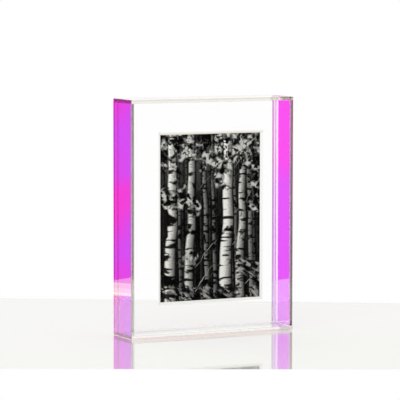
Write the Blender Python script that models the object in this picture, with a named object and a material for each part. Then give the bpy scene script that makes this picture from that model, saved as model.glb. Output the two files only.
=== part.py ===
"""Free-standing box photo frame in clear acrylic with iridescent side walls.

Two side walls stand between a top and a bottom panel. A thin front panel is glued in
flush with their front edges, and a thicker rear panel pushes in between them from behind,
a little way inside the back edges. The outer faces of the side walls carry iridescent
film, and a bordered print floats on the back of the front panel.

The origin is at the bottom centre: +X is the frame's right as seen from the front,
the front faces -Y and +Z is up. All sizes are in metres.
"""

import bmesh
import bpy
from mathutils import Vector

# Overall size, over the films
WIDTH = 0.1651
HEIGHT = 0.2159
DEPTH = 0.0381

# Panel thicknesses
FRONT_T = 0.0015
SIDE_T = 0.0020
TOP_T = 0.0030
BOTTOM_T = 0.0030
REAR_T = 0.0040
FILM_T = 0.0002

# The rear panel lies this far inside the back edges of the walls
REAR_RECESS = 0.0045

# The print: its picture, the white border round it and how far it lies off centre
PICTURE_WIDTH = 0.1016
PICTURE_HEIGHT = 0.1524
PRINT_BORDER = 0.0022
PRINT_T = 0.0003
PRINT_SHIFT_X = -0.0015

# Clearances and the polished edges
GLUE_GAP = 0.0003
FILM_GAP = 0.0003
SLIDE_GAP = 0.0003
PRINT_GAP = 0.0003
EDGE_BREAK = 0.0003
EDGE_SEGMENTS = 3

# Planes that the panels share
FRONT_Y = -DEPTH / 2
BACK_Y = DEPTH / 2
WALL_OUTER_X = WIDTH / 2 - FILM_T - FILM_GAP
WALL_INNER_X = WALL_OUTER_X - SIDE_T
FLOOR_Z = BOTTOM_T
CEILING_Z = HEIGHT - TOP_T
PRINT_FRONT_Y = FRONT_Y + FRONT_T + PRINT_GAP
REAR_BACK_Y = BACK_Y - REAR_RECESS

# Surface colours as red, green, blue
CLEAR_COLOUR = (0.93, 0.97, 0.95)
LEFT_FILM_COLOUR = (0.72, 0.08, 0.78)
RIGHT_FILM_COLOUR = (0.85, 0.12, 0.85)
PRINT_COLOUR = (0.30, 0.29, 0.27)


def remove_all_objects():
    """Start from an empty scene."""
    for thing in list(bpy.data.objects):
        bpy.data.objects.remove(thing, do_unlink=True)


def material(name, colour, roughness, transmission):
    """A plain surface: its colour, its roughness and how clear it is."""
    surface = bpy.data.materials.new(name)
    surface.use_nodes = True
    shader = surface.node_tree.nodes["Principled BSDF"]
    shader.inputs["Base Color"].default_value = (*colour, 1.0)
    shader.inputs["Roughness"].default_value = roughness
    shader.inputs["Metallic"].default_value = 0.0
    shader.inputs["Transmission Weight"].default_value = transmission
    shader.inputs["IOR"].default_value = 1.49
    surface.diffuse_color = (*colour, 1.0)
    return surface


def holder(name):
    """An empty that carries the pieces of one body."""
    empty = bpy.data.objects.new(name, None)
    empty.empty_display_size = 0.02
    bpy.context.collection.objects.link(empty)
    return empty


def sheet(name, low, high, surface, parent, edge_break=0.0):
    """A flat piece between two corners, with its edges broken by a small round."""
    low, high = Vector(low), Vector(high)
    size = high - low
    mesh = bpy.data.meshes.new(name)
    form = bmesh.new()
    bmesh.ops.create_cube(form, size=1.0)
    bmesh.ops.scale(form, vec=size, verts=form.verts)
    form.to_mesh(mesh)
    form.free()
    piece = bpy.data.objects.new(name, mesh)
    piece.location = (low + high) / 2
    piece.parent = parent
    piece.data.materials.append(surface)
    bpy.context.collection.objects.link(piece)
    if edge_break > 0:
        bevel = piece.modifiers.new("edge_break", "BEVEL")
        bevel.width = min(edge_break, min(size) / 4)
        bevel.segments = EDGE_SEGMENTS
        bevel.limit_method = "ANGLE"
    return piece


def bottom_panel(parent, surface):
    """The bottom panel is the face that the frame stands on."""
    low = (-WALL_OUTER_X, FRONT_Y, 0.0)
    high = (WALL_OUTER_X, BACK_Y, FLOOR_Z)
    return sheet("bottom_panel", low, high, surface, parent, EDGE_BREAK)


def top_panel(parent, surface):
    """The top panel lies on the upper ends of the side walls."""
    low = (-WALL_OUTER_X, FRONT_Y, CEILING_Z)
    high = (WALL_OUTER_X, BACK_Y, HEIGHT)
    return sheet("top_panel", low, high, surface, parent, EDGE_BREAK)


def side_wall(name, side, parent, surface):
    """A side wall stands between the bottom and the top panel; side is -1 or 1."""
    edges = sorted((side * WALL_INNER_X, side * WALL_OUTER_X))
    low = (edges[0], FRONT_Y, FLOOR_Z + GLUE_GAP)
    high = (edges[1], BACK_Y, CEILING_Z - GLUE_GAP)
    return sheet(name, low, high, surface, parent, EDGE_BREAK)


def side_film(name, side, parent, surface):
    """The film covers one side wall and the ends of the top and bottom panels."""
    edges = sorted((side * (WALL_OUTER_X + FILM_GAP), side * WIDTH / 2))
    low = (edges[0], FRONT_Y, GLUE_GAP)
    high = (edges[1], BACK_Y, HEIGHT - GLUE_GAP)
    return sheet(name, low, high, surface, parent)


def front_panel(parent, surface):
    """The front panel fits between the four walls, flush with their front edges."""
    half_width = WALL_INNER_X - GLUE_GAP
    low = (-half_width, FRONT_Y, FLOOR_Z + GLUE_GAP)
    high = (half_width, FRONT_Y + FRONT_T, CEILING_Z - GLUE_GAP)
    return sheet("front_panel", low, high, surface, parent, EDGE_BREAK)


def photo_print(parent, surface):
    """The print floats in the middle of the front, with clear space all round."""
    half_width = PICTURE_WIDTH / 2 + PRINT_BORDER
    half_height = PICTURE_HEIGHT / 2 + PRINT_BORDER
    low = (PRINT_SHIFT_X - half_width, PRINT_FRONT_Y, HEIGHT / 2 - half_height)
    high = (PRINT_SHIFT_X + half_width, PRINT_FRONT_Y + PRINT_T, HEIGHT / 2 + half_height)
    return sheet("photo_print", low, high, surface, parent)


def rear_panel(parent, surface):
    """The rear panel closes the box between the walls."""
    half_width = WALL_INNER_X - SLIDE_GAP
    low = (-half_width, REAR_BACK_Y - REAR_T, FLOOR_Z + SLIDE_GAP)
    high = (half_width, REAR_BACK_Y, CEILING_Z - SLIDE_GAP)
    return sheet("rear_panel", low, high, surface, parent, EDGE_BREAK)


def build_box(body):
    """The glued box, with the film on its sides and the print on its front panel."""
    bottom_panel(body, material("bottom_acrylic", CLEAR_COLOUR, 0.02, 1.0))
    top_panel(body, material("top_acrylic", CLEAR_COLOUR, 0.02, 1.0))
    for name, side, film_colour in (("left", -1, LEFT_FILM_COLOUR), ("right", 1, RIGHT_FILM_COLOUR)):
        side_wall(name + "_panel", side, body, material(name + "_acrylic", CLEAR_COLOUR, 0.02, 1.0))
        side_film(name + "_film", side, body, material(name + "_iridescence", film_colour, 0.08, 0.7))
    front_panel(body, material("front_acrylic", CLEAR_COLOUR, 0.02, 1.0))
    photo_print(body, material("print_paper", PRINT_COLOUR, 0.45, 0.0))


def main():
    remove_all_objects()
    build_box(holder("box_body"))
    rear_panel(holder("rear_panel_body"), material("rear_acrylic", CLEAR_COLOUR, 0.02, 1.0))


main()
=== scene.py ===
"""Looks of the clear box photo frame with iridescent side walls, on a pale glossy table.

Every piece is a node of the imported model, dressed here with node materials. Lengths are
in metres in the part's own frame: +X right, front towards -Y, +Z up.
"""

import math
from collections import namedtuple

import bmesh
import bpy
from mathutils import Euler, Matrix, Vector


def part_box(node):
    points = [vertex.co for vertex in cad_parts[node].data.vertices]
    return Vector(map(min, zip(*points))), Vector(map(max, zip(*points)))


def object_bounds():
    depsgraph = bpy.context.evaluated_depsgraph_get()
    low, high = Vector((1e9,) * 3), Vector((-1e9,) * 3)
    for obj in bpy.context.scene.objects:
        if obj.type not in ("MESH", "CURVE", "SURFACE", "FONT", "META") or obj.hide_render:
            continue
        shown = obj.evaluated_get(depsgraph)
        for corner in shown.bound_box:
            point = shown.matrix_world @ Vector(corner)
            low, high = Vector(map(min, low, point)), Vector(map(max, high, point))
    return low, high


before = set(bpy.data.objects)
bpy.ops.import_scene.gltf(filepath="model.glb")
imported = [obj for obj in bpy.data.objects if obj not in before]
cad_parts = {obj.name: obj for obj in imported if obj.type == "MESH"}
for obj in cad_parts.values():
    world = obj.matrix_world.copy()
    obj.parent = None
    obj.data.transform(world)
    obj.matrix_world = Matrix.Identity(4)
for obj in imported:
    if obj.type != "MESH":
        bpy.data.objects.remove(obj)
cad_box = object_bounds()

# Camera, fitted to the photograph's 400 by 400 frame
CAMERA_PLACE = (-1.0842, -2.1506, 0.3273)
CAMERA_HEADING = math.radians(26.67)
CAMERA_PITCH = math.radians(4.877)
CAMERA_ROLL = math.radians(0.07)
SENSOR = 36.0
LENS = 237.2
CLIP_START = 0.05

# Light runs from edge to edge inside the panels, mirrored many times
MOST_BOUNCES = 96

# World: its level on matt surfaces, and its level for mirrored light that goes down and away
# from the backdrop. The backdrop sets in between two cosines of the angle from the camera's
# heading, and what lies above the horizon between two sines of the height angle.
AMBIENT = 0.93
ROOM_LEVEL = 0.30
BACKDROP_EDGE = (0.60, 0.88)
HORIZON_EDGE = (-0.03, 0.0)

# Stage, given as right, away and up from the frame's front left foot, seen from the camera
SOFTBOX_PLACE = (-0.5, -1.3, 1.1)
SOFTBOX_SIZE = (1.2, 0.9)
SOFTBOX_POWER = 6.0
TABLE_FRONT = -0.176
TABLE_BACK = 0.2995
TABLE_END = 0.90
TABLE_CORNERS = (
    (-TABLE_END, TABLE_FRONT),
    (TABLE_END, TABLE_FRONT),
    (TABLE_END, 0.214),
    (-0.178, 0.312),
    (-0.345, TABLE_BACK),
    (-TABLE_END, TABLE_BACK),
)
TABLE_TOP = -0.0002

# The softbox is aimed at this point of the part
SOFTBOX_AIM = (0.0, 0.0, 0.10)

# Pale gloss of the table
TABLE_COLOUR = (0.79, 0.785, 0.735)
TABLE_ROUGHNESS = 0.03
TABLE_IOR = 1.5
TABLE_COAT = 0.5

# Two dark upright cards, one in front of a point by the frame and one behind it, both right
# and away from the same foot. Mirrored light meets them at distances within their reach.
CARD_MIDDLE = (-0.009, 0.017)
CARD_BEARING = (0.803, -0.597)
CARD_DISTANCE = 2.0
CARD_ASIDE = 0.07
CARD_HALF_WIDTH = 0.44
CARD_LOW = -0.40
CARD_HIGH = 0.36
CARD_REACH = (1.4, 2.6)
UNLIT = 0.022
ROOM_IN_FRONT = 0.02

# Light mirrored only once meets cards below this height, so that the table doesn't show them
SEEN_ONCE_BELOW = 0.24

# Strips just over the table to the left, which only mirrors show: from and to, right of the
# same foot, and level
LIT_STRIPS = (
    (-0.450, -0.335, 0.27),
    (-0.335, -0.325, 0.60),
    (-0.325, -0.297, 0.53),
    (-0.297, -0.268, 0.64),
    (-0.268, -0.258, 0.80),
)
STRIP_FRONT = 0.12
STRIP_HEIGHT = 0.0005
STRIP_REACH = (0.10, 1.0)

X_AXIS, Y_AXIS, Z_AXIS = 0, 1, 2
WHITE = (1.0, 1.0, 1.0)
BLACK = (0.0, 0.0, 0.0)

# A noise lies mostly within this range, round this middle
NOISE_RANGE = (0.3, 0.7)
NOISE_MIDDLE = 0.5

# Acrylic: how far its normals turn from a face to an edge, the saw's strokes across the edges
# and how their roughness varies, and the slight ripple of the cast faces
ACRYLIC_IOR = 1.49
FACE_NORMAL = 0.95
EDGE_NORMAL = 0.60
STROKE_RATE = 900.0
SMOOTHER = 0.7
COARSER = 1.3
RIPPLE_RATE = 14.0
RIPPLE_STRENGTH = 0.02
RIPPLE_DEPTH = 0.001

# How much of a plain surface's reflection its polished faces keep, but at grazing angles
POLISH = 0.06
GRAZING_POWER = 4.0

# What lamps and matt surfaces get through one face of it
LAMP_TINT = (0.985, 0.99, 0.985)

# Brown gaps in the glue, drawn out upwards, and how softly tints, frost and gaps begin
VOID_COLOUR = (0.66, 0.58, 0.47)
VOID_RATE = 900.0
VOID_STRETCH = 0.4
VOID_SPOTS = (0.42, 0.56)
VOID_BLUR = 0.0005
TINT_BLUR = 0.0001
FROST_BLUR = 0.01

GREY_GREEN = (0.68, 0.70, 0.64)
GREY_OLIVE = (0.68, 0.72, 0.60)
WARM_GREY = (0.80, 0.77, 0.70)

# Each panel: the axis across its polished faces, its edges, and its body's colour and density.
# Bands of the edges, each an axis, two places on it and a colour, are mostly painted light and shade.
# Frost is the matt share of the left and the right end. Voids are the places between which the glue has
# gaps.
ACRYLIC_LOOKS = {
    "left_panel": {
        "faces": X_AXIS,
        "edge_colour": (0.95, 0.95, 0.93),
        "edge_roughness": 0.20,
        "body_colour": GREY_GREEN,
        "density": 20.0,
        # Painted shade and light: the edges are darker above 54.5 mm for the dark studio they show and
        # lighter below it for the table, with a tan band of painted reflection from 50 to 54.5 mm.
        "tints_and_painted_light": (
            (Z_AXIS, 0.0545, 0.2200, (0.74, 0.74, 0.73)),
            (Z_AXIS, 0.0500, 0.0545, (0.93, 0.88, 0.74)),
        ),
    },
    "right_panel": {
        "faces": X_AXIS,
        "edge_colour": (0.96, 0.94, 0.90),
        "edge_roughness": 0.20,
        "body_colour": GREY_OLIVE,
        "density": 24.0,
        # Painted shade and light: the edges are darker from 40 to 176 mm, warmer above 176 mm, and
        # lighter below 40 mm for the table they show. A painted shadow darkens them 3 to 4.6 mm up,
        # where the wall meets the base. A grey line runs 18.6 to 20 mm back.
        "tints_and_painted_light": (
            (Z_AXIS, 0.0400, 0.1760, (0.86, 0.86, 0.78)),
            (Z_AXIS, 0.1760, 0.2200, (1.0, 0.92, 0.82)),
            (Z_AXIS, 0.0030, 0.0046, (0.30, 0.30, 0.26)),
            (Y_AXIS, 0.0186, 0.0200, (0.42, 0.44, 0.43)),
        ),
    },
    "top_panel": {
        "faces": Z_AXIS,
        "edge_colour": (0.99, 0.985, 0.975),
        "edge_roughness": 0.25,
        "body_colour": WARM_GREY,
        "density": 6.0,
        "tints_and_painted_light": ((Z_AXIS, 0.2142, 0.2156, (0.89, 0.87, 0.82)),),
        "voids": (0.0715, 0.0800),
    },
    "bottom_panel": {
        "faces": Z_AXIS,
        "edge_colour": (0.99, 0.985, 0.975),
        "edge_roughness": 0.25,
        "body_colour": WARM_GREY,
        "density": 2.0,
        # Painted pink light of the films along the edges at the table, and a pale green band from 2.2 to
        # 4 mm up.
        "tints_and_painted_light": (
            (Z_AXIS, -0.0010, 0.0004, (1.0, 0.60, 0.62)),
            (Z_AXIS, 0.0022, 0.0040, (0.92, 0.96, 0.90)),
        ),
        "frost": (0.0, 0.8),
    },
    "front_panel": {
        "faces": Y_AXIS,
        "edge_colour": (0.90, 0.90, 0.88),
        "edge_roughness": 0.15,
        "body_colour": WARM_GREY,
        "density": 3.0,
    },
    "rear_panel": {
        "faces": Y_AXIS,
        "edge_colour": (0.98, 0.98, 0.98),
        "edge_roughness": 0.35,
        "body_colour": WARM_GREY,
        "density": 3.0,
        "frost": (0.7, 0.85),
    },
}

# Film: how its colours slant and drift over the wall, and what it mirrors, little head-on and
# most of it from this far aslant on
COLOUR_SLANT = 1.3
DRIFT_RATE = 11.0
DRIFT_STRETCH = 3.0
DRIFT_SHARE = 0.10
FILM_ROUGHNESS = 0.03
FILM_MIRRORS = (0.32, 1.0, 0.26)
MIRROR_HEAD_ON = 0.12
MIRROR_ASLANT = 0.95
FULLY_ASLANT = 0.54
FILM_TO_MATT = (0.95, 0.90, 0.94)

# Along its front edge, as far in as this, the film has lost its coloured layers
WORN_EDGE = (0.0004, 0.0008)
WORN_FILM = (0.73, 0.69, 0.55)
WORN_MIRROR = 0.35

# Each film: its two colours, the share of pink at heights of the wall from 0 to 1, how much
# more of it there is at the front and at the back, and a seed for its drift
FILM_LOOKS = {
    "left": {
        "violet": (0.70, 0.058, 0.92),
        "pink": (0.97, 0.030, 0.68),
        "stops": (
            (0.0, 0.22), (0.15, 0.28), (0.18, 0.68), (0.22, 0.74), (0.25, 0.44),
            (0.36, 0.12), (0.57, 0.95), (0.70, 0.15), (0.85, 0.0), (1.0, 0.5),
        ),
        "depth_share": (-0.26, 0.22),
        "drift_seed": 0.0,
    },
    "right": {
        "violet": (0.80, 0.09, 1.0),
        "pink": (1.0, 0.065, 0.90),
        "stops": ((0.0, 0.0), (0.60, 0.0), (0.74, 1.0), (1.0, 0.85)),
        "depth_share": (0.30, -0.12),
        "drift_seed": 3.0,
    },
}

# Picture on the print, its middle from the print's own, and its tones
PICTURE_WIDTH = 0.1016
PICTURE_HEIGHT = 0.1516
PICTURE_OFF_X = -0.0007
PICTURE_OFF_Z = -0.0001
PICTURE_CONTRAST = 1.38
PICTURE_GAIN = 1.32
PICTURE_BLACK = (0.0005, 0.0005, 0.0005)
PICTURE_WHITE = (0.82, 0.81, 0.77)
GRAIN_RATE = 2600.0
GRAIN_LIGHT = (0.85, 1.15)

# Paper round it: the two tones of its fibres, the left border darkened with painted shade, and a line of
# painted shade over the picture, which fades between two distances from it
PAPER_DARK = (0.94, 0.93, 0.91)
PAPER_LIGHT = (0.98, 0.975, 0.96)
LEFT_BORDER_SHADE = (0.875, 0.85, 0.82)
TOP_BORDER_SHADE = (0.785, 0.725, 0.66)
TOP_SHADE_FULL = 0.0007
TOP_SHADE_GONE = 0.0019
FIBRE_RATE = 1500.0
FIBRE_STRENGTH = 0.05
FIBRE_DEPTH = 0.0001
PAPER_ROUGHNESS = 0.30
PAPER_SPECULAR = 0.03

# Wood in the picture, in shares of the picture's height. Where there are four numbers, a value
# between the first two becomes one between the last two.
SKY_LIGHT = (0.15, 0.95, 0.03, 0.42)
MIST_SEED = 1.0
MIST_RATE = 3.0
MIST_LIGHT = (0.42, 0.60, 0.05, 1.6)
DARKEST = 0.002

# Rows of trunks from far to near. Girth is a radius as a share of the spacing, band rate is that
# of the bark's dark bands, and gloom is how much light a row leaves on what is behind it.
Row = namedtuple("Row", "seed spacing girth lean bright band_rate gloom")
TRUNK_ROWS = (
    Row(seed=3.1, spacing=0.030, girth=0.32, lean=0.9, bright=0.34, band_rate=60.0, gloom=0.60),
    Row(seed=7.4, spacing=0.075, girth=0.27, lean=0.9, bright=0.72, band_rate=62.0, gloom=0.50),
    Row(seed=12.3, spacing=0.175, girth=0.24, lean=0.7, bright=1.25, band_rate=44.0, gloom=0.60),
)
TREE_DISORDER = 0.85
BEND_RATE = 1.4
THINNEST = 0.45
TAPER = (0.0, 1.0, 1.15, 0.75)
ROUNDING = (-0.9, 0.9, 1.0, 0.04)
RIM_SHADE = (0.70, 1.0, 1.0, 0.25)
OWN_TINT = (0.0, 1.0, 0.35, 1.0)

# Bark: how slowly it changes across a trunk, how far apart the trunks' barks lie in the noise,
# and its bands, knots and peel
BARK_STRETCH = 0.35
BARK_APART = 40.0
BANDS = (0.54, 0.60, 1.0, 0.06)
KNOT_RATE = 0.30
KNOTS = (0.58, 0.64, 1.0, 0.02)
PEEL_RATE = 150.0
PEEL = (0.35, 0.65, 0.75, 1.25)

# Boughs: their spacing and width are a share of the trunks' spacing, added to the least one.
# Then come their slant and light, how crooked they are, and where along them they show.
BOUGH_SPACING = 0.9
LEAST_SPACING = 0.03
BOUGH_WIDTH = 0.010
LEAST_WIDTH = 0.0012
BOUGH_RISE = 1.1
BOUGH_LIGHT = 0.30
CROOK_RATE = 6.0
CROOK = 0.16
BOUGHS_APART = 30.0
REACH_RATE = 5.0
REACH = (0.50, 0.62)

# Clumps of leaves above and of ferns below: fewest at one height and most at another. Their
# crowding and their tint have seeds of their own, this much further on.
LEAVES = {"seed": 4.0, "rate": 34.0, "none_at": 0.45, "most_at": 1.0, "least": -0.14, "most": 0.09}
FERNS = {"seed": 11.0, "rate": 30.0, "none_at": 0.30, "most_at": 0.02, "least": -0.22, "most": 0.12}
LEAF_LIGHT = 0.60
FERN_LIGHT = 0.42
FERN_SLANT = 0.8
CROWD_SEED = 2.0
CROWD_RATE = 4.0
CLUMP_EDGE = (0.47, 0.50)
LEAF_RAGGED = 0.6
LEAF_TINT_SEED = 4.0
LEAF_TINT_RATE = 0.7
LEAF_TINTS = (0.44, 0.62)


class Nodes:
    """A node tree, built one node at a time."""

    def __init__(self, tree):
        self.tree = tree

    def node(self, kind, inputs=None, **settings):
        """Add a node; inputs are given by name or number, as values or as sockets."""
        node = self.tree.nodes.new(kind)
        for name, value in settings.items():
            setattr(node, name, value)
        for name, value in (inputs or {}).items():
            if isinstance(value, bpy.types.NodeSocket):
                self.tree.links.new(value, node.inputs[name])
            else:
                node.inputs[name].default_value = value
        return node

    def shader(self, kind, inputs=None):
        return self.node(kind, inputs).outputs[0]

    def math(self, operation, first, second=0.0, third=0.0, clamp=False):
        terms = {0: first, 1: second, 2: third}
        return self.node("ShaderNodeMath", terms, operation=operation, use_clamp=clamp).outputs[0]

    def product(self, first, *others):
        """Multiply two or more numbers."""
        for other in others:
            first = self.math("MULTIPLY", first, other)
        return first

    def mix(self, share, first, second):
        """Blend two colours, with share of the second."""
        inputs = {0: share, 6: rgba(first), 7: rgba(second)}
        return self.node("ShaderNodeMix", inputs, data_type="RGBA").outputs[2]

    def blend(self, share, first, second):
        """Blend two numbers, with share of the second."""
        return self.node("ShaderNodeMix", {0: share, 2: first, 3: second}).outputs[0]

    def span(self, value, low, high, to_low=0.0, to_high=1.0, smooth=False):
        """Map a value from one range to another, kept inside it."""
        inputs = {"Value": value, "From Min": low, "From Max": high, "To Min": to_low, "To Max": to_high}
        kind = "SMOOTHSTEP" if smooth else "LINEAR"
        return self.node("ShaderNodeMapRange", inputs, interpolation_type=kind).outputs[0]

    def ramp(self, value, stops):
        """A curve through stops of place and level."""
        ramp = self.node("ShaderNodeValToRGB", {0: value})
        band = ramp.color_ramp
        band.interpolation = "EASE"
        while len(band.elements) < len(stops):
            band.elements.new(0.5)
        for element, (place, level) in zip(band.elements, stops):
            element.position = place
            element.color = (level, level, level, 1.0)
        return ramp.outputs[0]

    def parts(self, vector):
        return self.node("ShaderNodeSeparateXYZ", {0: vector}).outputs

    def point(self, x, y, z):
        return self.node("ShaderNodeCombineXYZ", {0: x, 1: y, 2: z}).outputs[0]

    def noise(self, where, scale, detail=3.0, roughness=0.5):
        inputs = {"Vector": where, "Scale": scale, "Detail": detail, "Roughness": roughness}
        return self.node("ShaderNodeTexNoise", inputs).outputs["Fac"]

    def bump(self, height, strength, depth):
        inputs = {"Strength": strength, "Distance": depth, "Height": height}
        return self.node("ShaderNodeBump", inputs).outputs[0]

    def mix_shader(self, share, first, second):
        return self.node("ShaderNodeMixShader", {0: share, 1: first, 2: second}).outputs[0]


class Surface(Nodes):
    """A node material, with each point's place on the part at hand."""

    def __init__(self, name):
        self.material = bpy.data.materials.new(name)
        self.material.use_nodes = True
        super().__init__(self.material.node_tree)
        self.tree.nodes.clear()
        self.output = self.node("ShaderNodeOutputMaterial")
        self.where = self.node("ShaderNodeTexCoord").outputs
        self.place = self.parts(self.where["Object"])

    def facing(self, axis):
        """How squarely the surface faces along an axis, from -1 to 1."""
        return self.parts(self.where["Normal"])[axis]

    def finish(self, shader, volume=None):
        self.tree.links.new(shader, self.output.inputs["Surface"])
        if volume is not None:
            self.tree.links.new(volume, self.output.inputs["Volume"])
        return self.material


def rgba(colour):
    if isinstance(colour, bpy.types.NodeSocket):
        return colour
    return (*colour, 1.0)


def dress(node, material):
    """Give a CAD node its finish."""
    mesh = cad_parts[node].data
    mesh.materials.clear()
    mesh.materials.append(material)


def painted_edge_band(surface, colour, edge, axis, low, high, tint):
    """Colour the edges between two places on an axis, mostly with painted light and shade."""
    place = surface.place[axis]
    above = surface.span(place, low - TINT_BLUR, low + TINT_BLUR)
    below = surface.span(place, high - TINT_BLUR, high + TINT_BLUR, 1.0, 0.0)
    return surface.mix(surface.product(above, below, edge), colour, tint)


def glue_voids(surface, colour, edge, start, end):
    """Small brown gaps in the glue, seen in an edge from one place along X to another."""
    x, _, z = surface.place
    drawn_out = surface.point(x, 0.0, surface.product(z, VOID_STRETCH))
    spots = surface.span(surface.noise(drawn_out, VOID_RATE, detail=2.0), *VOID_SPOTS)
    past_start = surface.span(x, start, start + VOID_BLUR)
    before_end = surface.span(x, end, end + VOID_BLUR, 1.0, 0.0)
    return surface.mix(surface.product(past_start, spots, before_end, edge), colour, VOID_COLOUR)


def frost_ends(surface, acrylic, colour, left_share, right_share):
    """Scatter a share of the light at the left and the right end, from outside and inside."""
    from_outside = surface.shader("ShaderNodeBsdfTranslucent", {"Color": rgba(colour)})
    from_inside = surface.shader("ShaderNodeBsdfDiffuse", {"Color": rgba(colour)})
    inside = surface.node("ShaderNodeNewGeometry").outputs["Backfacing"]
    scattered = surface.mix_shader(inside, from_outside, from_inside)
    towards = surface.math("ABSOLUTE", surface.facing(X_AXIS))
    end = surface.span(towards, EDGE_NORMAL, FACE_NORMAL, smooth=True)
    share = surface.span(surface.place[X_AXIS], -FROST_BLUR, FROST_BLUR, left_share, right_share)
    return surface.mix_shader(surface.product(end, share), acrylic, scattered)


def let_through(surface, shader, colour, rays):
    """Let rays of the kinds named go straight on, a little coloured."""
    straight = surface.shader("ShaderNodeBsdfTransparent", {"Color": rgba(colour)})
    path = surface.node("ShaderNodeLightPath").outputs
    for ray in rays:
        shader = surface.mix_shader(path[ray], shader, straight)
    return shader


def clear_acrylic(
    name, faces, edge_colour, edge_roughness, body_colour, density, tints_and_painted_light=(), frost=None, voids=None
):
    """Cast acrylic with polished faces and sawn, buffed edges, as ACRYLIC_LOOKS says.

    Long ways through it, from edge to edge, take on the colour of its body. Lamps shine
    through it.
    """
    surface = Surface(name)
    towards = surface.math("ABSOLUTE", surface.facing(faces))
    edge = surface.span(towards, FACE_NORMAL, EDGE_NORMAL, smooth=True)
    strokes = surface.noise(surface.where["Object"], STROKE_RATE, detail=2.0)
    finest, coarsest = edge_roughness * SMOOTHER, edge_roughness * COARSER
    roughness = surface.product(edge, surface.span(strokes, *NOISE_RANGE, finest, coarsest))
    colour = surface.mix(edge, WHITE, edge_colour)
    # Bands of painted light and shade on the edges, and plain tints, as ACRYLIC_LOOKS lists them
    for tint in tints_and_painted_light:
        colour = painted_edge_band(surface, colour, edge, *tint)
    if voids:
        colour = glue_voids(surface, colour, edge, *voids)
    ripple = surface.noise(surface.where["Object"], RIPPLE_RATE, detail=1.0)
    bump = surface.bump(ripple, RIPPLE_STRENGTH, RIPPLE_DEPTH)
    passed = surface.shader(
        "ShaderNodeBsdfRefraction",
        {"Color": colour, "Roughness": roughness, "IOR": ACRYLIC_IOR, "Normal": bump},
    )
    mirrored = surface.shader(
        "ShaderNodeBsdfAnisotropic", {"Color": colour, "Roughness": roughness, "Normal": bump}
    )
    fresnel = surface.node("ShaderNodeFresnel", {"IOR": ACRYLIC_IOR}).outputs[0]
    grazing = surface.math("POWER", fresnel, GRAZING_POWER)
    share = surface.product(fresnel, surface.blend(grazing, POLISH, 1.0))
    acrylic = surface.mix_shader(share, passed, mirrored)
    if frost:
        acrylic = frost_ends(surface, acrylic, edge_colour, *frost)
    acrylic = let_through(surface, acrylic, LAMP_TINT, ("Is Diffuse Ray", "Is Shadow Ray"))
    absorbed = {"Color": rgba(body_colour), "Density": density}
    return surface.finish(acrylic, surface.shader("ShaderNodeVolumeAbsorption", absorbed))


def one_face(colour):
    """What one face of the film passes, because light goes through two of them."""
    return tuple(math.sqrt(level) for level in colour)


def iridescent_film(name, violet, pink, stops, depth_share, drift_seed):
    """See-through film that passes violet to pink and mirrors the green that it holds back.

    Its colours run as FILM_LOOKS says. Matt surfaces are lit through it as through a pale
    film.
    """
    surface = Surface(name)
    _, y, z = surface.place
    front, back = cad_box[0][Y_AXIS], cad_box[1][Y_AXIS]
    drawn_out = surface.point(drift_seed, surface.product(y, DRIFT_STRETCH), z)
    drift = surface.noise(drawn_out, DRIFT_RATE, detail=1.5)
    drift = surface.math("SUBTRACT", drift, NOISE_MIDDLE)
    height = surface.math("DIVIDE", z, cad_box[1][Z_AXIS])
    height = surface.math("MULTIPLY_ADD", y, COLOUR_SLANT, height)
    height = surface.math("MULTIPLY_ADD", drift, DRIFT_SHARE, height)
    depth = surface.span(y, front, back, *depth_share)
    share = surface.math("ADD", surface.ramp(height, stops), depth, clamp=True)
    colour = surface.mix(share, one_face(violet), one_face(pink))
    worn_from, worn_to = WORN_EDGE
    worn = surface.span(y, front + worn_from, front + worn_to, 1.0, 0.0)
    colour = surface.mix(worn, colour, WORN_FILM)
    passed = surface.shader("ShaderNodeBsdfTransparent", {"Color": colour})
    aslant = surface.node("ShaderNodeLayerWeight", {"Blend": 0.5}).outputs["Facing"]
    strength = surface.span(aslant, 0.0, FULLY_ASLANT, MIRROR_HEAD_ON, MIRROR_ASLANT)
    inner_face = surface.node("ShaderNodeNewGeometry").outputs["Backfacing"]
    outer_face = surface.math("SUBTRACT", 1.0, inner_face)
    kept = surface.span(worn, 0.0, 1.0, 1.0, WORN_MIRROR)
    tone = surface.mix(surface.product(strength, outer_face, kept), BLACK, FILM_MIRRORS)
    gloss = {"Color": tone, "Roughness": FILM_ROUGHNESS}
    mirrored = surface.shader("ShaderNodeBsdfAnisotropic", gloss)
    both = surface.shader("ShaderNodeAddShader", {0: passed, 1: mirrored})
    return surface.finish(let_through(surface, both, FILM_TO_MATT, ("Is Diffuse Ray",)))


def tree_cells(surface, place):
    """Evenly strewn places along a line: the distance from the nearest one, and its luck."""
    inputs = {"W": place, "Scale": 1.0, "Randomness": TREE_DISORDER}
    cells = surface.node("ShaderNodeTexVoronoi", inputs, voronoi_dimensions="1D").outputs
    return surface.math("SUBTRACT", place, cells["W"]), surface.parts(cells["Color"])[0]


def trunks(surface, u, v, row):
    """A row of tree trunks.

    It gives whether a point lies on a trunk, its place across it from -1 to 1, and the
    trunk's luck.
    """
    bend = surface.noise(surface.point(row.seed, v, 0.0), BEND_RATE, detail=2.0)
    bend = surface.product(surface.math("SUBTRACT", bend, NOISE_MIDDLE), row.lean)
    place = surface.math("MULTIPLY_ADD", u, 1.0 / row.spacing, row.seed)
    away, luck = tree_cells(surface, surface.math("ADD", place, bend))
    radius = surface.span(luck, 0.0, 1.0, row.girth * THINNEST, row.girth)
    radius = surface.product(radius, surface.span(v, *TAPER))
    across = surface.math("DIVIDE", away, radius)
    inside = surface.math("LESS_THAN", surface.math("ABSOLUTE", across), 1.0)
    return inside, across, luck


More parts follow.
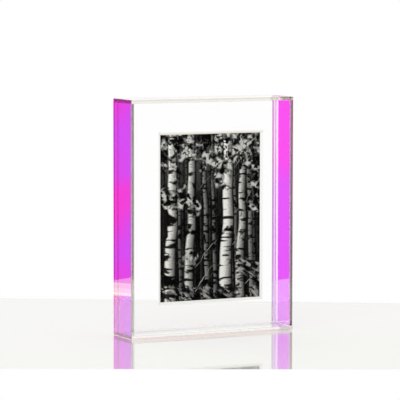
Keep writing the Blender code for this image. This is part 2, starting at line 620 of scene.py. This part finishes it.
def bark(surface, u, v, across, luck, row):
    """Pale bark, rounded off into the shade, with dark bands and knots across it."""
    wide = surface.product(across, BARK_STRETCH)
    own = surface.math("MULTIPLY_ADD", luck, BARK_APART, row.seed)
    band_place = surface.point(wide, surface.product(v, row.band_rate), own)
    knot_place = surface.point(wide, surface.product(v, row.band_rate * KNOT_RATE), own)
    return surface.product(
        surface.span(across, *ROUNDING),
        surface.span(surface.math("ABSOLUTE", across), *RIM_SHADE),
        surface.span(surface.noise(band_place, 1.0, detail=5.0), *BANDS),
        surface.span(surface.noise(knot_place, 1.0), *KNOTS),
        surface.span(surface.noise(surface.point(u, v, row.seed), PEEL_RATE), *PEEL),
        surface.span(luck, *OWN_TINT),
        row.bright,
    )


def boughs(surface, u, v, row, turn):
    """Thin bare boughs that slant, each of them a short way: whether a point lies on one.

    They rise to the right with turn 1, and to the left with turn -1.
    """
    seed = row.seed + turn
    spacing = BOUGH_SPACING * row.spacing + LEAST_SPACING
    width = BOUGH_WIDTH * row.spacing + LEAST_WIDTH
    crook = surface.noise(surface.point(u, v, seed), CROOK_RATE, detail=4.0)
    crook = surface.math("SUBTRACT", crook, NOISE_MIDDLE)
    level = surface.math("MULTIPLY_ADD", u, -turn * BOUGH_RISE, v)
    level = surface.math("MULTIPLY_ADD", crook, CROOK, level)
    away, luck = tree_cells(surface, surface.math("MULTIPLY_ADD", level, 1.0 / spacing, seed))
    reach_place = surface.point(u, surface.product(luck, BOUGHS_APART), seed)
    reach = surface.noise(reach_place, REACH_RATE, detail=1.0)
    thin = surface.span(reach, *REACH, 0.0, width / spacing)
    return surface.math("LESS_THAN", surface.math("ABSOLUTE", away), thin)


def foliage(surface, u, v, seed, rate, none_at, most_at, least, most):
    """Clumps of leaves, few at one height and many at another: where they are and their tone."""
    leaf = surface.noise(surface.point(u, v, seed), rate, detail=2.0, roughness=LEAF_RAGGED)
    crowd = surface.noise(surface.point(u, v, seed + CROWD_SEED), CROWD_RATE, detail=2.0)
    crowd = surface.math("ADD", surface.span(v, none_at, most_at, least, most), crowd)
    there = surface.product(surface.span(leaf, *CLUMP_EDGE), surface.span(crowd, *CLUMP_EDGE))
    tint_place = surface.point(u, v, seed + LEAF_TINT_SEED)
    tint = surface.noise(tint_place, rate * LEAF_TINT_RATE, detail=1.0)
    return there, surface.span(tint, *LEAF_TINTS)


def picture_tone(surface, u, v):
    """A birch wood: mist, three rows of trunks, bare boughs, leaves and a floor of ferns."""
    mist = surface.noise(surface.point(u, v, MIST_SEED), MIST_RATE, detail=5.0)
    tone = surface.product(surface.span(v, *SKY_LIGHT), surface.span(mist, *MIST_LIGHT))
    for row in TRUNK_ROWS:
        inside, across, luck = trunks(surface, u, v, row)
        tone = surface.product(tone, row.gloom)
        tone = surface.blend(boughs(surface, u, v, row, -1.0), tone, DARKEST)
        tone = surface.blend(boughs(surface, u, v, row, 1.0), tone, BOUGH_LIGHT * row.bright)
        tone = surface.blend(inside, tone, bark(surface, u, v, across, luck, row))
    there, tint = foliage(surface, u, v, **LEAVES)
    tone = surface.blend(there, tone, surface.math("MULTIPLY_ADD", tint, LEAF_LIGHT, DARKEST))
    slanted = surface.math("MULTIPLY_ADD", v, FERN_SLANT, u)
    there, tint = foliage(surface, slanted, v, **FERNS)
    return surface.blend(there, tone, surface.math("MULTIPLY_ADD", tint, FERN_LIGHT, DARKEST))


def printed_picture(surface, off_x, off_z):
    """The picture's colour, from how far a point lies off its middle."""
    u = surface.math("MULTIPLY_ADD", off_x, 1.0 / PICTURE_HEIGHT, 0.5)
    v = surface.math("MULTIPLY_ADD", off_z, 1.0 / PICTURE_HEIGHT, 0.5)
    grain = surface.noise(surface.where["Object"], GRAIN_RATE, detail=1.0)
    grain = surface.span(grain, *NOISE_RANGE, *GRAIN_LIGHT)
    tone = surface.math("MULTIPLY", picture_tone(surface, u, v), grain, clamp=True)
    tone = surface.math("POWER", tone, PICTURE_CONTRAST)
    tone = surface.math("MULTIPLY", tone, PICTURE_GAIN, clamp=True)
    return surface.mix(tone, PICTURE_BLACK, PICTURE_WHITE)


def print_paper(name):
    """Semi-gloss paper with a white border round a black-and-white picture."""
    surface = Surface(name)
    x, _, z = surface.place
    low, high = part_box("photo_print")
    off_x = surface.math("SUBTRACT", x, (low[X_AXIS] + high[X_AXIS]) / 2 + PICTURE_OFF_X)
    off_z = surface.math("SUBTRACT", z, (low[Z_AXIS] + high[Z_AXIS]) / 2 + PICTURE_OFF_Z)
    front_face = surface.math("LESS_THAN", surface.facing(Y_AXIS), -0.5)
    inside_x = surface.math("LESS_THAN", surface.math("ABSOLUTE", off_x), PICTURE_WIDTH / 2)
    inside_z = surface.math("LESS_THAN", surface.math("ABSOLUTE", off_z), PICTURE_HEIGHT / 2)
    left = surface.math("LESS_THAN", off_x, -PICTURE_WIDTH / 2)
    top = surface.math("GREATER_THAN", off_z, PICTURE_HEIGHT / 2)
    top_shade = surface.span(off_z, PICTURE_HEIGHT / 2 + TOP_SHADE_GONE, PICTURE_HEIGHT / 2 + TOP_SHADE_FULL)
    fibres = surface.noise(surface.where["Object"], FIBRE_RATE)
    colour = surface.mix(fibres, PAPER_DARK, PAPER_LIGHT)
    # Painted shade: the left border is darker, and a line of shade fades out above the picture.
    colour = surface.mix(surface.product(left, front_face), colour, LEFT_BORDER_SHADE)
    colour = surface.mix(surface.product(top_shade, top, front_face), colour, TOP_BORDER_SHADE)
    picture = printed_picture(surface, off_x, off_z)
    colour = surface.mix(surface.product(inside_x, inside_z, front_face), colour, picture)
    paper = surface.shader(
        "ShaderNodeBsdfPrincipled",
        {
            "Base Color": colour,
            "Roughness": PAPER_ROUGHNESS,
            "Specular IOR Level": PAPER_SPECULAR,
            "Normal": surface.bump(fibres, FIBRE_STRENGTH, FIBRE_DEPTH),
        },
    )
    return surface.finish(paper)


def dress_frame():
    for node, looks in ACRYLIC_LOOKS.items():
        dress(node, clear_acrylic(node + "_acrylic", **looks))
    for side, looks in FILM_LOOKS.items():
        dress(side + "_film", iridescent_film(side + "_iridescence", **looks))
    dress("photo_print", print_paper("print_paper"))


def from_foot(right, away, up):
    """A point given from the frame's front left foot, along and across the camera's heading."""
    foot = Vector((cad_box[0][X_AXIS], cad_box[0][Y_AXIS], 0.0))
    along = Vector((math.sin(CAMERA_HEADING), math.cos(CAMERA_HEADING), 0.0))
    across = Vector((along.y, -along.x, 0.0))
    return foot + across * right + along * away + Vector((0.0, 0.0, up))


def stage_face(name, corners, material):
    """A flat face of the stage between corners given from the frame's foot."""
    mesh = bpy.data.meshes.new(name)
    form = bmesh.new()
    form.faces.new([form.verts.new(from_foot(*corner)) for corner in corners])
    form.to_mesh(mesh)
    form.free()
    face = bpy.data.objects.new(name, mesh)
    face.data.materials.append(material)
    bpy.context.scene.collection.objects.link(face)
    return face


def plain_light(name, level, reach):
    """A plain level that only mirrored light meets.

    It is there for light mirrored twice, and low down and within reach also for light
    mirrored once.
    """
    surface = Surface(name)
    nearest, furthest = reach
    glow = {"Color": (level, level, level, 1.0), "Strength": 1.0}
    lit = surface.shader("ShaderNodeEmission", glow)
    nothing = surface.shader("ShaderNodeBsdfTransparent")
    path = surface.node("ShaderNodeLightPath").outputs
    once_mirrored = surface.math("GREATER_THAN", path["Glossy Depth"], 0.5)
    twice_mirrored = surface.math("GREATER_THAN", path["Glossy Depth"], 1.5)
    far_off = surface.math("GREATER_THAN", path["Ray Length"], nearest)
    near_by = surface.math("LESS_THAN", path["Ray Length"], furthest)
    low_down = surface.math("LESS_THAN", surface.place[Z_AXIS], SEEN_ONCE_BELOW)
    seen_once = surface.product(once_mirrored, far_off, near_by, low_down)
    seen = surface.math("MAXIMUM", seen_once, twice_mirrored)
    return surface.finish(surface.mix_shader(seen, nothing, lit))


def mirrored_card(name, corners, level, reach):
    """A card of the stage that neither the camera sees nor matt surfaces are lit by."""
    card = stage_face(name, corners, plain_light(name + "_light", level, reach))
    card.visible_camera = False
    card.visible_diffuse = False
    card.visible_shadow = False
    return card


def build_table():
    surface = Surface("table_gloss")
    top = surface.shader(
        "ShaderNodeBsdfPrincipled",
        {
            "Base Color": rgba(TABLE_COLOUR),
            "Roughness": TABLE_ROUGHNESS,
            "IOR": TABLE_IOR,
            "Coat Weight": TABLE_COAT,
            "Coat Roughness": TABLE_ROUGHNESS,
        },
    )
    corners = [(right, away, TABLE_TOP) for right, away in TABLE_CORNERS]
    stage_face("table", corners, surface.finish(top))


def upright_card(name, side, level):
    """A card across the cards' bearing, before the frame with side 1 and behind it with -1."""
    bearing = Vector(CARD_BEARING) * side
    sideways = Vector((bearing.y, -bearing.x))
    centre = Vector(CARD_MIDDLE) + bearing * CARD_DISTANCE - sideways * side * CARD_ASIDE
    left, right = centre - sideways * CARD_HALF_WIDTH, centre + sideways * CARD_HALF_WIDTH
    corners = [(*left, CARD_LOW), (*right, CARD_LOW), (*right, CARD_HIGH), (*left, CARD_HIGH)]
    return mirrored_card(name, corners, level, CARD_REACH)


def build_cards():
    """What the side walls mirror: the unlit studio, the dark room in front, and lit strips.

    The room in front isn't there for light that comes straight from inside the acrylic.
    """
    upright_card("unlit_studio", -1, UNLIT)
    room = upright_card("room_in_front", 1, ROOM_IN_FRONT)
    room.visible_transmission = False
    front, back = STRIP_FRONT, TABLE_BACK
    for number, (start, end, level) in enumerate(LIT_STRIPS):
        places = ((start, front), (end, front), (end, back), (start, back))
        corners = [(right, away, STRIP_HEIGHT) for right, away in places]
        mirrored_card("lit_strip_%d" % number, corners, level, STRIP_REACH)


def build_world():
    """White all round to the eye and a plain level on matt surfaces.

    Mirrored light finds it grey below the horizon, but for the backdrop that the camera faces.
    """
    world = bpy.data.worlds.new("studio")
    world.use_nodes = True
    bpy.context.scene.world = world
    sky = Nodes(world.node_tree)
    x, y, z = sky.parts(sky.node("ShaderNodeTexCoord").outputs["Generated"])
    path = sky.node("ShaderNodeLightPath").outputs
    heading = sky.product(x, math.sin(CAMERA_HEADING))
    heading = sky.math("MULTIPLY_ADD", y, math.cos(CAMERA_HEADING), heading)
    backdrop = sky.span(heading, *BACKDROP_EDGE)
    above = sky.span(z, *HORIZON_EDGE)
    room = sky.span(sky.math("MAXIMUM", backdrop, above), 0.0, 1.0, ROOM_LEVEL, 1.0)
    mirrored = sky.span(path["Glossy Depth"], 0.0, 1.0)
    level = sky.blend(mirrored, 1.0, room)
    level = sky.blend(path["Is Diffuse Ray"], level, AMBIENT)
    background = sky.tree.nodes["Background"]
    background.inputs["Color"].default_value = rgba(WHITE)
    sky.tree.links.new(level, background.inputs["Strength"])


def build_softbox():
    lamp = bpy.data.lights.new("softbox", "AREA")
    lamp.shape = "RECTANGLE"
    lamp.size, lamp.size_y = SOFTBOX_SIZE
    lamp.energy = SOFTBOX_POWER
    box = bpy.data.objects.new("softbox", lamp)
    box.location = from_foot(*SOFTBOX_PLACE)
    aim = Vector(SOFTBOX_AIM) - box.location
    box.rotation_euler = aim.to_track_quat("-Z", "Y").to_euler()
    box.visible_glossy = False
    bpy.context.scene.collection.objects.link(box)


def build_camera():
    lens = bpy.data.cameras.new("camera")
    lens.sensor_fit = "HORIZONTAL"
    lens.sensor_width = SENSOR
    lens.lens = LENS
    lens.clip_start = CLIP_START
    camera = bpy.data.objects.new("camera", lens)
    camera.location = CAMERA_PLACE
    turn = Euler((math.pi / 2 - CAMERA_PITCH, 0.0, -CAMERA_HEADING), "XYZ").to_matrix()
    roll = Euler((0.0, 0.0, CAMERA_ROLL), "XYZ").to_matrix()
    camera.rotation_euler = (turn @ roll).to_euler()
    bpy.context.scene.collection.objects.link(camera)
    bpy.context.scene.camera = camera


def main():
    scene = bpy.context.scene
    scene.view_settings.view_transform = "Standard"
    scene.cycles.max_bounces = MOST_BOUNCES
    scene.cycles.glossy_bounces = MOST_BOUNCES
    scene.cycles.transmission_bounces = MOST_BOUNCES
    scene.cycles.transparent_max_bounces = MOST_BOUNCES
    dress_frame()
    build_table()
    build_cards()
    build_world()
    build_softbox()
    build_camera()


main()
